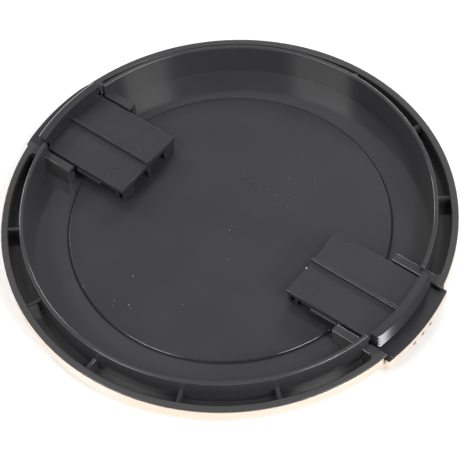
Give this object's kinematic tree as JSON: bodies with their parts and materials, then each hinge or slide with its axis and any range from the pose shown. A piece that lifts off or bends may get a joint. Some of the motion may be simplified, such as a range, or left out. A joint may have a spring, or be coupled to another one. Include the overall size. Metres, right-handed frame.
{
  "type": "side pinch lens cap",
  "caption": "Round black side-pinch cap for a large camera lens, lying on its front face with the lens side up: thin spigot ring, ribbed trough, light side skin, sprung toothed latches.",
  "frame": {"origin": "centre of the plain front face, on the surface that the cap lies on", "axes": "+Z away from the front face, towards the lens; +X along the latches, towards latch_a; +Y across them"},
  "size_m": [0.1046, 0.1026, 0.01],
  "materials": {
    "body_plastic": "satin moulded black",
    "latch_plastic": "satin moulded black, with polished jaw teeth",
    "skin": "pale champagne satin",
    "spring_steel": "drawn wire"
  },
  "bodies": {
    "cap": {"cap_body": "body_plastic", "front_cover": "skin", "spring_a1": "spring_steel", "spring_a2": "spring_steel", "spring_b1": "spring_steel", "spring_b2": "spring_steel"},
    "latch_a": {"latch_a": "latch_plastic", "grip_cover_a": "skin"},
    "latch_b": {"latch_b": "latch_plastic", "grip_cover_b": "skin"}
  },
  "joints": [
    {"name": "latch_a_slide", "type": "slide", "parent": "cap", "child": "latch_a", "axis": [-1, 0, 0], "range_m": [0, 0.0026], "stiffness_N_per_m": 500, "springref_m": -0.002, "deforming": ["spring_a1", "spring_a2"]},
    {"name": "latch_b_slide", "type": "slide", "parent": "cap", "child": "latch_b", "axis": [1, 0, 0], "range_m": [0, 0.0026], "stiffness_N_per_m": 500, "springref_m": -0.002, "deforming": ["spring_b1", "spring_b2"]}
  ]
}
